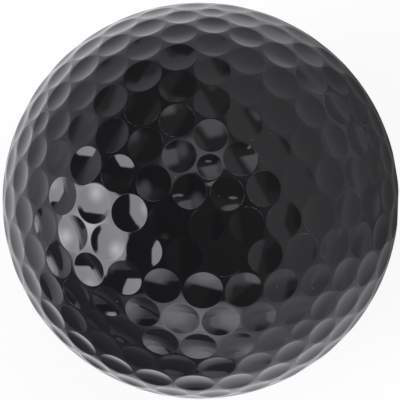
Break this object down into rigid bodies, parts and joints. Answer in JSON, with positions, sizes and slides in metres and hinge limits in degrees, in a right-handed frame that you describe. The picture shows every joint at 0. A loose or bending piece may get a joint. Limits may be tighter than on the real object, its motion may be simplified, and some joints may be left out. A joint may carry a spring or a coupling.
{
  "type": "floating golf ball",
  "caption": "Dimpled golf ball that floats: a light rubber core inside a gloss black cover moulded in two halves that meet on a waved parting line.",
  "frame": {"origin": "centre of the ball", "axes": "+Z along the pole axis, through the small dimple in the middle of the upper half; the parting line waves about Z = 0; +X through the first corner dimple round the upper half"},
  "size_m": [0.0426, 0.0426, 0.0426],
  "materials": {
    "cover_gloss": "high gloss clear coat over black",
    "core_rubber": "matt, as moulded"
  },
  "bodies": {
    "root": {"core": "core_rubber", "cover_upper_half": "cover_gloss", "cover_lower_half": "cover_gloss"}
  },
  "joints": []
}
